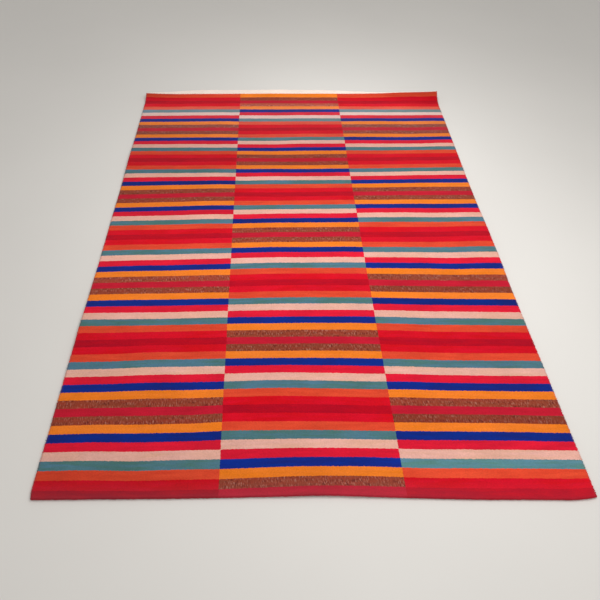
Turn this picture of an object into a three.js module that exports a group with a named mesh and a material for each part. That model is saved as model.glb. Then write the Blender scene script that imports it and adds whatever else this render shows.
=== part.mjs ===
// A hand-knotted wool rug with a short pile, lying face up in one piece.
// Millimetres, +Z up. X runs across the rug and +Y along it, to the far end, which curls up.
// Every point is worked out in cloth coordinates first (across, along, and height above the
// underside, as if the rug were square and flat), and then laid: the rows bow, the sides drift,
// the cloth swells a little off the ground in places, and the far end curls.

import * as THREE from 'three';

// Cut size of the cloth
const fieldWidth = 1700;
const stripePitch = 32;
const stripeCount = 75;
const fieldLength = stripePitch * stripeCount;
const halfWidth = fieldWidth / 2;
const halfLength = fieldLength / 2;

// Thickness of the cloth, and of the pile that stands on it
const clothThickness = 3;
const pileHeight = 7.5;
const pileEdgeRound = 7;

// Plain woven web that stands out of the pile at the far end, in a band of uneven width
const farWeb = [
  { across: -850, width: 8 },
  { across: -567, width: 26 },
  { across: -283, width: 27 },
  { across: 0, width: 28 },
  { across: 283, width: 23 },
  { across: 567, width: 10 },
  { across: 850, width: 4 },
];

// The near end is beaten in unevenly: how far in from the cut length its pile starts
const nearTrim = [
  { across: -850, inset: 6 },
  { across: -425, inset: 10 },
  { across: 0, inset: 3 },
  { across: 425, inset: 0 },
  { across: 850, inset: 0 },
];

// Far end: length of cloth that lifts, and its slope at the last row of pile, in radians.
// The corners lift more than the middle, in a tight turn on the left and a wide one on the right.
const curl = {
  middle: { length: 60, slope: 0.5 },
  left: { length: 96, slope: 0.42, tightness: 7 },
  right: { length: 110, slope: 0.85, tightness: 2.2 },
};

// Near right corner, where the edge rounds away
const nearCornerRound = 9;
const nearCornerReach = 90;

// How far the rows sit off square, along Y, at five places across
const rowBow = [
  { along: 0.0, left: 20, leftMiddle: 9, middle: 12, rightMiddle: -5, right: -21 },
  { along: 0.2, left: 1, leftMiddle: 7, middle: 4, rightMiddle: -13, right: -28 },
  { along: 0.4, left: -1, leftMiddle: 4, middle: 9, rightMiddle: 0, right: -13 },
  { along: 0.6, left: -6, leftMiddle: 4, middle: 5, rightMiddle: 8, right: 8 },
  { along: 0.8, left: -8, leftMiddle: -3, middle: -7, rightMiddle: -3, right: 3 },
  { along: 1.0, left: -10, leftMiddle: -5, middle: -2, rightMiddle: -5, right: -10 },
];

// How far the two sides and the two column joints sit off straight, along X, at three places along
const columnDrift = [
  { line: 'left side', near: 12, middle: 12, far: 6 },
  { line: 'left joint', near: 5, middle: -9, far: -17 },
  { line: 'right joint', near: 5, middle: -9, far: -17 },
  { line: 'right side', near: 18, middle: 4, far: 4 },
];

// Places where the cloth stands a few millimetres off the ground
const swells = [
  { across: -850, along: -540, reachAcross: 430, reachAlong: 300, rise: 6 },
  { across: 850, along: -90, reachAcross: 400, reachAlong: 330, rise: 7 },
  { across: -850, along: 560, reachAcross: 380, reachAlong: 270, rise: 5 },
  { across: 180, along: 740, reachAcross: 420, reachAlong: 250, rise: 4 },
  { across: 60, along: -1200, reachAcross: 330, reachAlong: 210, rise: 4 },
];

// Mesh steps
const edgeSteps = [0, 0.08, 0.35, 1];
const cellsAcross = 28;
const cellsAlong = 38;
const curlCells = 6;

// Catmull-Rom curve through evenly spaced values; share runs from 0 to 1
function through(values, share) {
  const last = values.length - 1;
  const place = THREE.MathUtils.clamp(share, 0, 1) * last;
  const k = Math.min(Math.floor(place), last - 1);
  const t = place - k;
  const a = values[k];
  const b = values[k + 1];
  const before = k > 0 ? values[k - 1] : 2 * a - b;
  const after = k + 1 < last ? values[k + 2] : 2 * b - a;
  const rise = (b - before) / 2;
  const fall = (after - a) / 2;
  const t2 = t * t;
  const t3 = t2 * t;
  return (2 * t3 - 3 * t2 + 1) * a + (t3 - 2 * t2 + t) * rise
    + (3 * t2 - 2 * t3) * b + (t3 - t2) * fall;
}

function bowAt(across, along) {
  const share = (across + halfWidth) / fieldWidth;
  const rows = rowBow.map((row) => (
    through([row.left, row.leftMiddle, row.middle, row.rightMiddle, row.right], share)
  ));
  return through(rows, (along + halfLength) / fieldLength);
}

function driftAt(across, along) {
  const t = (along + halfLength) / fieldLength;
  const lines = columnDrift.map((line) => through([line.near, line.middle, line.far], t));
  return through(lines, (across + halfWidth) / fieldWidth);
}

// A soft mound: full rise at its middle, level with the ground outside its reach
function swellAt(across, along) {
  return swells.reduce((height, swell) => {
    const dx = (across - swell.across) / swell.reachAcross;
    const dy = (along - swell.along) / swell.reachAlong;
    const away = Math.hypot(dx, dy);
    return away < 1 ? height + swell.rise * Math.cos(away * Math.PI / 2) ** 2 : height;
  }, 0);
}

// The near right corner's edge turns back a little
function nearCornerAt(across, along) {
  const side = THREE.MathUtils.clamp(1 - (halfWidth - across) / nearCornerReach, 0, 1);
  const end = THREE.MathUtils.clamp(1 - (along + halfLength) / nearCornerReach, 0, 1);
  return nearCornerRound * side * side * end;
}

function farWebAt(across) {
  return through(farWeb.map((place) => place.width), (across + halfWidth) / fieldWidth);
}

// First line of pile at the near end
function nearEndAt(across) {
  const share = (across + halfWidth) / fieldWidth;
  return -halfLength + through(nearTrim.map((place) => place.inset), share);
}

// Where a point of the cloth lies: past the curl's start it follows a circle that lifts it
function lay(across, along, height) {
  const side = across < 0 ? curl.left : curl.right;
  const corner = (Math.abs(across) / halfWidth) ** side.tightness;
  const length = THREE.MathUtils.lerp(curl.middle.length, side.length, corner);
  const endSlope = THREE.MathUtils.lerp(curl.middle.slope, side.slope, corner);
  const radius = length / endSlope;
  const start = halfLength - length;
  const angle = Math.max(0, along - start) / radius;
  const flatAlong = Math.min(along, start);
  return new THREE.Vector3(
    across + driftAt(across, along),
    flatAlong + (radius - height) * Math.sin(angle) + bowAt(across, along)
      + nearCornerAt(across, along),
    swellAt(across, along) + radius - (radius - height) * Math.cos(angle),
  );
}

// Height of the upper face: the pile rounds off to the cloth at its edges
function upperFace(across, along) {
  const inset = Math.min(halfWidth - Math.abs(across), halfLength - along, along - nearEndAt(across));
  if (inset < 0) return clothThickness;
  const share = Math.min(inset / pileEdgeRound, 1);
  return clothThickness + pileHeight * Math.sqrt(1 - (1 - share) ** 2);
}

function evenSteps(from, to, count) {
  return Array.from({ length: count - 1 }, (_, k) => from + (to - from) * (k + 1) / count);
}

// Lines of the mesh across the rug, closer together where the pile rounds off
function stationsAcross() {
  const edge = edgeSteps.map((share) => halfWidth - share * pileEdgeRound);
  const inner = halfWidth - pileEdgeRound;
  return [
    ...edge.map((x) => -x),
    ...evenSteps(-inner, inner, cellsAcross),
    ...edge.reverse(),
  ];
}

// Lines along the rug: the pile, the curl, and the far web
function stationsAlong(across) {
  const steps = edgeSteps.map((share) => share * pileEdgeRound);
  const nearEnd = nearEndAt(across);
  const curlStart = halfLength - Math.max(curl.middle.length, curl.left.length, curl.right.length);
  const web = farWebAt(across);
  return [
    ...steps.map((inset) => nearEnd + inset),
    ...evenSteps(nearEnd + pileEdgeRound, curlStart, cellsAlong),
    curlStart,
    ...evenSteps(curlStart, halfLength - pileEdgeRound, curlCells),
    ...steps.map((inset) => halfLength - inset).reverse(),
    halfLength + web / 2,
    halfLength + web,
  ];
}

// One closed sheet: an upper and a lower grid of points, joined round the rim
function rugGeometry() {
  const columns = stationsAcross();
  const grid = columns.map((across) => stationsAlong(across).map((along) => [across, along]));
  const rows = grid[0].length;
  const points = [];
  const faces = [];
  grid.flat().forEach(([across, along]) => {
    points.push(lay(across, along, upperFace(across, along)));
  });
  grid.flat().forEach(([across, along]) => points.push(lay(across, along, 0)));
  const top = (i, j) => i * rows + j;
  const bottom = (i, j) => columns.length * rows + top(i, j);
  const quad = (a, b, c, d) => faces.push(a, b, c, a, c, d);
  const lastColumn = columns.length - 1;
  const lastRow = rows - 1;
  for (let i = 0; i < lastColumn; i += 1) {
    for (let j = 0; j < lastRow; j += 1) {
      quad(top(i, j), top(i + 1, j), top(i + 1, j + 1), top(i, j + 1));
      quad(bottom(i, j), bottom(i, j + 1), bottom(i + 1, j + 1), bottom(i + 1, j));
    }
    quad(bottom(i, 0), bottom(i + 1, 0), top(i + 1, 0), top(i, 0));
    quad(bottom(i + 1, lastRow), bottom(i, lastRow), top(i, lastRow), top(i + 1, lastRow));
  }
  for (let j = 0; j < lastRow; j += 1) {
    quad(bottom(0, j + 1), bottom(0, j), top(0, j), top(0, j + 1));
    quad(bottom(lastColumn, j), bottom(lastColumn, j + 1), top(lastColumn, j + 1), top(lastColumn, j));
  }
  const geometry = new THREE.BufferGeometry().setFromPoints(points);
  geometry.setIndex(faces);
  geometry.computeBoundingBox();
  const centre = geometry.boundingBox.getCenter(new THREE.Vector3());
  geometry.translate(-centre.x, -centre.y, 0);
  geometry.computeVertexNormals();
  return geometry;
}

const wool = new THREE.MeshStandardMaterial({ color: 0xb8372c, roughness: 0.95, metalness: 0 });
const rug = new THREE.Mesh(rugGeometry(), wool);
rug.name = 'rug';

const part = new THREE.Group();
part.add(rug);

export default part;
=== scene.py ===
"""A hand-knotted wool rug with a short pile in stripes, lying on a plain pale floor.

The frame's one solid, rug, gives the place and the size. Three kinds of piece stand for it: the woven
foundation, with the plain web at its far end, the cut pile, in three columns of stripes, and the tufts
that lean out at the pile's edges. All are made flat in cloth coordinates (across, along, and height
above the underside) and then laid as the cloth lies: rows bow, sides drift, the cloth swells off the
floor in places and the far end curls up. Lengths are in metres. The tables of how the cloth lies and
of the pile's painted light and shade are in millimetres.
"""

import math

import bmesh
import bpy
import numpy as np
from bpy.props import FloatProperty, FloatVectorProperty, IntProperty, PointerProperty
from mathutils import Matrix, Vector


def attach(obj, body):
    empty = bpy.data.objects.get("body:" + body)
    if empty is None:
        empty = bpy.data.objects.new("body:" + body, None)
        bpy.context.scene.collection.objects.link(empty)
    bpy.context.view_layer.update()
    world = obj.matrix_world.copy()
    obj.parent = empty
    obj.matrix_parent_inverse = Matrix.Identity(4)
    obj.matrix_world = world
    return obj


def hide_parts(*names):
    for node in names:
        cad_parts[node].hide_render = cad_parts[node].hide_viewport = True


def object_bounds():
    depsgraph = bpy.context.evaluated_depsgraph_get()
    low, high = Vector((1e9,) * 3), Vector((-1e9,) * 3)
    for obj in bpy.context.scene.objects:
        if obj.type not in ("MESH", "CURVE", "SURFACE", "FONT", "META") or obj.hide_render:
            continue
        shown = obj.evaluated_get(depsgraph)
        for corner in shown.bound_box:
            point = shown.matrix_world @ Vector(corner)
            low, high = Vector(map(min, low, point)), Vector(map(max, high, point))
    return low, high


bl_info = {
    "name": "Striped knotted rug",
    "version": (1, 0, 0),
    "blender": (4, 5, 0),
    "location": "3D View > Sidebar > Rug",
    "description": "Makes a hand-knotted striped wool rug and the plain stage that it lies on",
    "category": "Object",
}

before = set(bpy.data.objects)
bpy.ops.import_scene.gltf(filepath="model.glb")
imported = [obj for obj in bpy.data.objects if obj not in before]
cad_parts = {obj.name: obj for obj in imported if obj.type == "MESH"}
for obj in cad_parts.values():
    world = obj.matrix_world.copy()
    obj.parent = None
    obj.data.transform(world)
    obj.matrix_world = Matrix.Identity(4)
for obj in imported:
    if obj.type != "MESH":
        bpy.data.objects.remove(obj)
CAD_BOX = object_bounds()

MM = 0.001
BODY = "root"
SOLID = "rug"
COLUMNS = 3

# How far the rows sit off square, along the rug, at five places across, with a line for each fifth of
# its length.
ROW_BOW = (
    {"left": 20, "left_middle": 9, "middle": 12, "right_middle": -5, "right": -21},
    {"left": 1, "left_middle": 7, "middle": 4, "right_middle": -13, "right": -28},
    {"left": -1, "left_middle": 4, "middle": 9, "right_middle": 0, "right": -13},
    {"left": -6, "left_middle": 4, "middle": 5, "right_middle": 8, "right": 8},
    {"left": -8, "left_middle": -3, "middle": -7, "right_middle": -3, "right": 3},
    {"left": -10, "left_middle": -5, "middle": -2, "right_middle": -5, "right": -10},
)
# How far the sides and the column joints sit off straight, across the rug, at three places along it.
COLUMN_DRIFT = (
    {"line": "left side", "near": 12, "middle": 12, "far": 6},
    {"line": "left joint", "near": 5, "middle": -9, "far": -17},
    {"line": "right joint", "near": 5, "middle": -9, "far": -17},
    {"line": "right side", "near": 18, "middle": 4, "far": 4},
)
# Places where the cloth stands a few millimetres off the floor.
SWELLS = (
    {"across": -850, "along": -540, "reach_across": 430, "reach_along": 300, "rise": 6},
    {"across": 850, "along": -90, "reach_across": 400, "reach_along": 330, "rise": 7},
    {"across": -850, "along": 560, "reach_across": 380, "reach_along": 270, "rise": 5},
    {"across": 180, "along": 740, "reach_across": 420, "reach_along": 250, "rise": 4},
    {"across": 60, "along": -1200, "reach_across": 330, "reach_along": 210, "rise": 4},
)
# Widths of the far web, at even steps across the rug.
FAR_WEB = (8, 26, 27, 28, 23, 7, 2)
# How far in from the cut length the pile starts at the near end, at even steps across the rug.
NEAR_TRIM = (6, 10, 3, 0, 0)
CURL = {
    "middle": {"length": 60, "slope": 0.5},
    "left": {"length": 96, "slope": 0.42, "tightness": 7},
    "right": {"length": 110, "slope": 0.85, "tightness": 2.2},
}
NEAR_CORNER = {"round": 9, "reach": 90}
# The near left corner is drawn in across the rug, over its last rows.
LEFT_CORNER = {"draw": 7, "reach": 38, "depth": 120}

# Places where the pile is painted lighter or darker: soft painted light and shade over the rug, a painted
# sheen where the far end begins to turn up, and painted shade on the far corners, which curl up away from
# the light. change is the share of its light.
PAINTED_LIGHT_PATCHES = (
    {"across": -850, "along": -1200, "reach_across": 1700, "reach_along": 300, "change": -0.13},
    {"across": 850, "along": -1200, "reach_across": 800, "reach_along": 260, "change": 0.07},
    {"across": 850, "along": -620, "reach_across": 1000, "reach_along": 280, "change": -0.06},
    {"across": -850, "along": -180, "reach_across": 1800, "reach_along": 480, "change": 0.12},
    {"across": -850, "along": 620, "reach_across": 1000, "reach_along": 500, "change": -0.09},
    {"across": 0, "along": 620, "reach_across": 1000, "reach_along": 480, "change": -0.12},
    {"across": 250, "along": 600, "reach_across": 450, "reach_along": 640, "change": -0.08},
    {"across": 850, "along": 850, "reach_across": 1000, "reach_along": 360, "change": -0.11},
    {"across": 0, "along": 1000, "reach_across": 800, "reach_along": 180, "change": -0.07},
    # Painted sheen where the far end begins to turn up.
    {"across": -650, "along": 1070, "reach_across": 600, "reach_along": 120, "change": 0.14},
    {"across": 600, "along": 1060, "reach_across": 600, "reach_along": 120, "change": 0.15},
    # Painted shade on the far corners, where they curl up away from the light.
    {"across": -850, "along": 1215, "reach_across": 340, "reach_along": 110, "change": -0.34},
    {"across": 850, "along": 1200, "reach_across": 540, "reach_along": 125, "change": -0.31},
)
# Hanks that took more or less dye than the rest of their kind. Columns count from the left, and
# stripes from the near end, both from 0.
ODD_HANKS = (
    {"column": 0, "stripe": 0, "tone": 0.90},
    {"column": 0, "stripe": 1, "tone": 0.94},
    {"column": 0, "stripe": 3, "tone": 1.10},
    {"column": 0, "stripe": 28, "tone": 1.12},
    {"column": 0, "stripe": 41, "tone": 0.86},
    {"column": 0, "stripe": 48, "tone": 0.85},
    {"column": 1, "stripe": 1, "tone": 1.05},
    {"column": 1, "stripe": 3, "tone": 1.12},
    {"column": 1, "stripe": 17, "tone": 0.90},
    {"column": 1, "stripe": 39, "tone": 0.85},
    {"column": 1, "stripe": 71, "tone": 1.60},
    {"column": 2, "stripe": 0, "tone": 1.06},
    {"column": 2, "stripe": 2, "tone": 1.08},
    {"column": 2, "stripe": 3, "tone": 1.42},
    {"column": 2, "stripe": 8, "tone": 0.84},
    {"column": 2, "stripe": 24, "tone": 0.82},
    {"column": 2, "stripe": 26, "tone": 0.86},
)

# The stripes of one repeat, from the near end of the outer columns. The middle column's repeat starts
# half a repeat on.
HALF_REPEAT = ("dark_red", "red", "tomato", "teal", "cream", "crimson", "blue", "gold", "tweed")
REPEAT = HALF_REPEAT + ("raspberry",) + HALF_REPEAT[:0:-1]


def linear(code):
    """The linear colour of a six-digit code such as C03A2B."""
    parts = [int(code[k:k + 2], 16) / 255 for k in (0, 2, 4)]
    return tuple(p / 12.92 if p <= 0.04045 else ((p + 0.055) / 1.055) ** 2.4 for p in parts)


def colour(name, code, use):
    """A colour that the user can change."""
    return FloatVectorProperty(
        name=name, description=use, subtype="COLOR", default=linear(code), min=0, max=1,
    )


def length(name, millimetres, use):
    """A length that the user can change."""
    return FloatProperty(
        name=name, description=use, default=millimetres * MM, min=0, unit="LENGTH", precision=4,
    )


def power(name, watts, use):
    """A light's power that the user can change."""
    return FloatProperty(name=name, description=use, default=watts, min=0, unit="POWER")


class RugSizes(bpy.types.PropertyGroup):
    """Sizes of the cloth as it was made, before it was laid."""

    width: length("Width", 1700, "Width of the pile field")
    pitch: length("Stripe", 32, "Width of one stripe")
    stripes: IntProperty(name="Stripes", description="Stripes from end to end", default=75, min=1)
    knots: IntProperty(
        name="Knots in a stripe", description="Rows of knots in one stripe", default=8, min=1,
    )
    knots_across: IntProperty(
        name="Knots in a column", description="Knots across one column", default=150, min=1,
    )
    cloth: length("Foundation", 3, "Thickness of the woven foundation")
    pile: length("Pile", 7.5, "Height of the pile above the foundation")
    edge_round: length("Edge round", 7, "How far in from its edge the pile reaches its full height")
    tuck: length("Tuck", 1.5, "How far the foundation stays inside the pile's edge")


class RugDyes(bpy.types.PropertyGroup):
    """Each yarn's colour, and the shade that it drifts to from hank to hank."""

    dark_red: colour("Dark red", "B7041C", "Dark red yarn")
    red: colour("Red", "D00A25", "Red yarn")
    tomato: colour("Tomato", "DB4A2E", "Tomato yarn")
    teal: colour("Teal", "4D7487", "Teal yarn")
    cream: colour("Cream", "E2AB9E", "Cream yarn")
    crimson: colour("Crimson", "DD1834", "Crimson yarn")
    blue: colour("Blue", "062985", "Blue yarn")
    gold: colour("Gold", "EA7B2A", "Gold yarn")
    tweed: colour("Tweed", "943A28", "Ground of the brown tweed yarn")
    raspberry: colour("Raspberry", "BE1830", "Raspberry yarn")
    dark_red_drift: colour("Dark red, drifted", "A90520", "Second shade of dark red")
    red_drift: colour("Red, drifted", "CB0718", "Second shade of red")
    tomato_drift: colour("Tomato, drifted", "D04028", "Second shade of tomato")
    teal_drift: colour("Teal, drifted", "486F6B", "Second shade of teal")
    cream_drift: colour("Cream, drifted", "DDA792", "Second shade of cream")
    crimson_drift: colour("Crimson, drifted", "CC1730", "Second shade of crimson")
    blue_drift: colour("Blue, drifted", "112373", "Second shade of blue")
    gold_drift: colour("Gold, drifted", "E6781C", "Second shade of gold")
    tweed_drift: colour("Tweed, drifted", "8B3F2A", "Second shade of the tweed's ground")
    raspberry_drift: colour("Raspberry, drifted", "B4172B", "Second shade of raspberry")
    fleck: colour("Light fleck", "B58474", "Light fibres in the tweed")
    dark_fleck: colour("Dark fleck", "5B221F", "Dark fibres in the tweed")
    # Fuzz: the fibres' paler sides, partly painted light that the rounded edge catches.
    fuzz_and_edge_light: colour("Fuzz", "F06A80", "Bloom of the fibres' sides at the pile's edges")
    felt: colour("Felt", "8C6C76", "Bloom of the felted fibres over the first stripes")
    # Bloom is a painted sheen where the far end begins to turn up.
    painted_sheen: colour("Bloom", "D8D2D4", "Bloom of the pile where the far end begins to turn up")
    web: colour("Web", "FFF0E4", "Undyed yarn of the woven end")


class RugStage(bpy.types.PropertyGroup):
    """The floor, the lights and the camera."""

    floor: colour("Floor", "DCD9D4", "The floor's colour")
    sky: FloatProperty(
        name="Sky", description="Strength of the light from all round", default=0.56, min=0,
    )
    key: power("Key", 24, "The large light over the right side")
    fill: power("Fill", 8, "The light in front of the near end")
    rim: power("Rim", 4.5, "The small light over the far end")
    lens: FloatProperty(name="Lens", description="Focal length", default=32.28, min=1, unit="CAMERA")
    shift: FloatProperty(name="Shift", description="Upright shift of the view", default=0.0)
    place: FloatVectorProperty(
        name="Camera", description="The camera's place, from the middle of the cloth as it was cut",
        subtype="XYZ", unit="LENGTH", default=(-0.0876, -1.8003, 1.6128),
    )
    turn: FloatVectorProperty(
        name="Camera turn", description="The camera's turn", subtype="EULER", unit="ROTATION",
        default=(math.radians(41.0255), math.radians(-1.1537), math.radians(-1.9935)),
    )


def through(values, share):
    """Catmull-Rom curve through evenly spaced values, read at each share from 0 to 1."""
    share = np.clip(share, 0, 1)
    stack = np.stack([np.broadcast_to(value, share.shape) for value in values])
    last = len(values) - 1
    place = share * last
    k = np.minimum(place.astype(int), last - 1)
    t = place - k

    def at(index):
        return np.take_along_axis(stack, index[None], 0)[0]

    a, b = at(k), at(k + 1)
    before = np.where(k > 0, at(np.maximum(k - 1, 0)), 2 * a - b)
    after = np.where(k + 1 < last, at(np.minimum(k + 2, last)), 2 * b - a)
    rise, fall = (b - before) / 2, (after - a) / 2
    return (
        (2 * t**3 - 3 * t**2 + 1) * a + (t**3 - 2 * t**2 + t) * rise
        + (3 * t**2 - 2 * t**3) * b + (t**3 - t**2) * fall
    )


def mixed(a, b, share):
    """From a to b by a share."""
    return a + (b - a) * share


def mound(place, across, along):
    """A soft mound: 1 at the middle of its place, and 0 outside its reach."""
    dx = (across / MM - place["across"]) / place["reach_across"]
    dy = (along / MM - place["along"]) / place["reach_along"]
    away = np.minimum(np.hypot(dx, dy), 1)
    return np.cos(away * math.pi / 2) ** 2


class Lumps:
    """Smooth random heights from -1 to 1 over the whole rug, in humps about size metres apart."""

    REACH = np.array([1.0, 1.4])

    def __init__(self, seed, size):
        self.size = size
        cells = np.ceil(2 * self.REACH / size).astype(int) + 2
        self.lattice = np.random.default_rng(seed).uniform(-1, 1, cells)

    def __call__(self, across, along):
        u = (across + self.REACH[0]) / self.size
        v = (along + self.REACH[1]) / self.size
        i, j = u.astype(int), v.astype(int)
        u, v = u - i, v - j
        u, v = u * u * (3 - 2 * u), v * v * (3 - 2 * v)
        near = mixed(self.lattice[i, j], self.lattice[i + 1, j], u)
        far = mixed(self.lattice[i, j + 1], self.lattice[i + 1, j + 1], u)
        return mixed(near, far, v)


class Lie:
    """How the cloth lies: turns cloth coordinates into places in the frame."""

    ROW_WAVE = {"seed": 11, "size": 0.15, "height": 2.0 * MM}
    SIDE_WAVE = {"seed": 12, "size": 0.11, "height": 0.9 * MM}
    RIM_POINTS = 400

    def __init__(self, sizes):
        self.half_width = sizes.width / 2
        self.half_length = sizes.pitch * sizes.stripes / 2
        self.row_wave = Lumps(self.ROW_WAVE["seed"], self.ROW_WAVE["size"])
        self.side_wave = Lumps(self.SIDE_WAVE["seed"], self.SIDE_WAVE["size"])
        self.middle = np.zeros(3)
        self.middle = self.middle_of_outline(sizes.cloth)

    def middle_of_outline(self, cloth):
        """The middle of the outline's box, which the frame has as its origin."""
        share = np.linspace(-1, 1, self.RIM_POINTS)
        across = share * self.half_width
        along = share * self.half_length
        side = np.full_like(share, self.half_width)
        under = np.zeros_like(share)
        web = self.half_length + self.far_web(across)
        rim = np.concatenate([
            self.smooth_place(across, self.near_end(across), under),
            self.smooth_place(across, web, under),
            self.smooth_place(across, web, under + cloth),
            self.smooth_place(-side, along, under),
            self.smooth_place(side, along, under),
        ])
        low, high = rim.min(0), rim.max(0)
        return (low + high) / 2 * (1, 1, 0)

    def share_across(self, across):
        """0 at the left side and 1 at the right."""
        return across / (2 * self.half_width) + 0.5

    def near_end(self, across):
        """Where the pile starts at the near end."""
        return -self.half_length + MM * through(NEAR_TRIM, self.share_across(across))

    def far_web(self, across):
        """How far the web stands out of the pile at the far end."""
        return MM * through(FAR_WEB, self.share_across(across))

    def bow(self, across, along):
        """How far the rows sit off square."""
        rows = [through(list(row.values()), self.share_across(across)) for row in ROW_BOW]
        return MM * through(rows, along / (2 * self.half_length) + 0.5)

    def drift(self, across, along):
        """How far the columns sit off straight."""
        share = along / (2 * self.half_length) + 0.5
        lines = [through((line["near"], line["middle"], line["far"]), share) for line in COLUMN_DRIFT]
        return MM * through(lines, self.share_across(across))

    def swell(self, across, along):
        """How high the cloth stands off the floor."""
        return MM * sum(place["rise"] * mound(place, across, along) for place in SWELLS)

    def near_corner(self, across, along):
        """The near right corner's edge turns back a little."""
        reach = NEAR_CORNER["reach"] * MM
        side = np.clip(1 - (self.half_width - across) / reach, 0, 1)
        end = np.clip(1 - (along + self.half_length) / reach, 0, 1)
        return NEAR_CORNER["round"] * MM * side**2 * end

    def left_corner(self, across, along):
        """The near left corner is drawn in."""
        end = np.clip(1 - (along + self.half_length) / (LEFT_CORNER["reach"] * MM), 0, 1)
        side = np.clip(1 - (self.half_width + across) / (LEFT_CORNER["depth"] * MM), 0, 1)
        return LEFT_CORNER["draw"] * MM * end**2 * side

    def smooth_place(self, across, along, height):
        """Past the curl's start a point follows a circle that lifts it."""
        side = {key: np.where(across < 0, CURL["left"][key], CURL["right"][key]) for key in CURL["left"]}
        corner = np.minimum(np.abs(across) / self.half_width, 1) ** side["tightness"]
        reach = MM * mixed(CURL["middle"]["length"], side["length"], corner)
        radius = reach / mixed(CURL["middle"]["slope"], side["slope"], corner)
        start = self.half_length - reach
        angle = np.maximum(0, along - start) / radius
        x = across + self.drift(across, along) + self.left_corner(across, along)
        y = np.minimum(along, start) + (radius - height) * np.sin(angle)
        y += self.bow(across, along) + self.near_corner(across, along)
        z = self.swell(across, along) + radius - (radius - height) * np.cos(angle)
        return np.stack([x, y, z], axis=1) - self.middle

    def place(self, across, along, height):
        """Where a point lies, with the small waves that the rows and sides of hand work have."""
        x = across + self.SIDE_WAVE["height"] * self.side_wave(across, along)
        y = along + self.ROW_WAVE["height"] * self.row_wave(across, along)
        return self.smooth_place(x, y, height)


def vertex_places(mesh):
    """The mesh's vertices as rows of x, y, z."""
    flat = np.empty(len(mesh.vertices) * 3)
    mesh.vertices.foreach_get("co", flat)
    return flat.reshape(-1, 3)


def write_cloth(mesh, across, along, laid):
    """Moves the vertices to where they lie, and keeps their cloth coordinates as the UV map."""
    mesh.vertices.foreach_set("co", laid.ravel())
    corners = np.empty(len(mesh.loops), dtype=int)
    mesh.loops.foreach_get("vertex_index", corners)
    layer = mesh.uv_layers.new(name="cloth")
    layer.uv.foreach_set("vector", np.stack([across[corners], along[corners]], axis=1).ravel())
    mesh.update()


def new_piece(name, bm):
    """A piece from a bmesh, smooth all over."""
    for face in bm.faces:
        face.smooth = True
    mesh = bpy.data.meshes.new(name)
    bm.to_mesh(mesh)
    bm.free()
    piece = bpy.data.objects.new(name, mesh)
    bpy.context.scene.collection.objects.link(piece)
    return piece


# The pile: its grid has about one line for each knot, and a coarser grid closes it underneath
PILE_CELLS = (140, 600)
UNDER_CELLS = (20, 100)
PILE_FOOT = 1.0 * MM
# Points of a unit slab closer than this are one place, and its lower points join within a tenth of a row
SAME_PLACE = 1e-6
JOIN_WITHIN = 0.1 / PILE_CELLS[1]
# Insets of the first lines from a free edge, in knots, before and after they are drawn to the edge
EDGE_LINES = ((0, 0), (1, 0.17), (2, 0.7), (3, 1.75), (5, 4.2), (8, 8))
PILE_RELIEF = (
    {"seed": 21, "size": 0.18, "height": 0.55 * MM},
    {"seed": 22, "size": 0.055, "height": 0.35 * MM},
    {"seed": 23, "size": 0.021, "height": 0.32 * MM},
    {"seed": 24, "size": 0.0095, "height": 0.25 * MM},
)
STRIPE_GROOVE = {"depth": 0.55 * MM, "width": 2.6 * MM}
# Steps in height from stripe to stripe, soft at their borders, and from tuft to tuft
STRIPE_UNEVEN = {"seed": 31, "height": 0.22 * MM, "border": 4 * MM}
TUFT_UNEVEN = {"seed": 41, "height": 0.12 * MM}
# The ragged line of the edge: humps of so many knots, which fade inwards
RIM_UNEVEN = {"seed": 51, "knots": 1.3, "reach": 0.7 * MM, "fade": 3 * MM}


def edge_drawn(inset, knot):
    """Draws the first lines of a grid towards a free edge, where the pile rounds off."""
    before, after = zip(*EDGE_LINES)
    far = before[-1] * knot
    return np.where(inset < far, np.interp(inset / knot, before, after) * knot, inset)


def slab(bm):
    """A closed slab one unit each way, fine on top, with a coarse grid underneath that meets its rim."""
    fine = bmesh.ops.create_grid(bm, x_segments=PILE_CELLS[0], y_segments=PILE_CELLS[1], size=0.5)
    bmesh.ops.translate(bm, verts=fine["verts"], vec=(0, 0, 1))
    rim = [edge for edge in bm.edges if edge.is_boundary]
    skirt = bmesh.ops.extrude_edge_only(bm, edges=rim)["geom"]
    foot = [item for item in skirt if isinstance(item, bmesh.types.BMVert)]
    bmesh.ops.translate(bm, verts=foot, vec=(0, 0, -1))
    coarse = bmesh.ops.create_grid(bm, x_segments=UNDER_CELLS[0], y_segments=UNDER_CELLS[1], size=0.5)
    bounds = (edge for vert in coarse["verts"] for edge in vert.link_edges if edge.is_boundary)
    edges = list(dict.fromkeys(bounds))
    across = [edge for edge in edges if abs(edge.verts[0].co.x - edge.verts[1].co.x) > SAME_PLACE]
    along = [edge for edge in edges if abs(edge.verts[0].co.y - edge.verts[1].co.y) > SAME_PLACE]
    bmesh.ops.subdivide_edges(bm, edges=across, cuts=PILE_CELLS[0] // UNDER_CELLS[0] - 1)
    bmesh.ops.subdivide_edges(bm, edges=along, cuts=PILE_CELLS[1] // UNDER_CELLS[1] - 1)
    low = [vert for vert in bm.verts if vert.co.z < 0.5]
    bmesh.ops.remove_doubles(bm, verts=low, dist=JOIN_WITHIN)
    bmesh.ops.recalc_face_normals(bm, faces=bm.faces)


def sharpen_rim(bm, side):
    """Keeps the pile's shading level where its top meets the wall at an inner joint."""
    for edge in bm.edges:
        if all(vert.co.z > 0.5 and abs(vert.co.x - side) < SAME_PLACE for vert in edge.verts):
            edge.smooth = False


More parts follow.
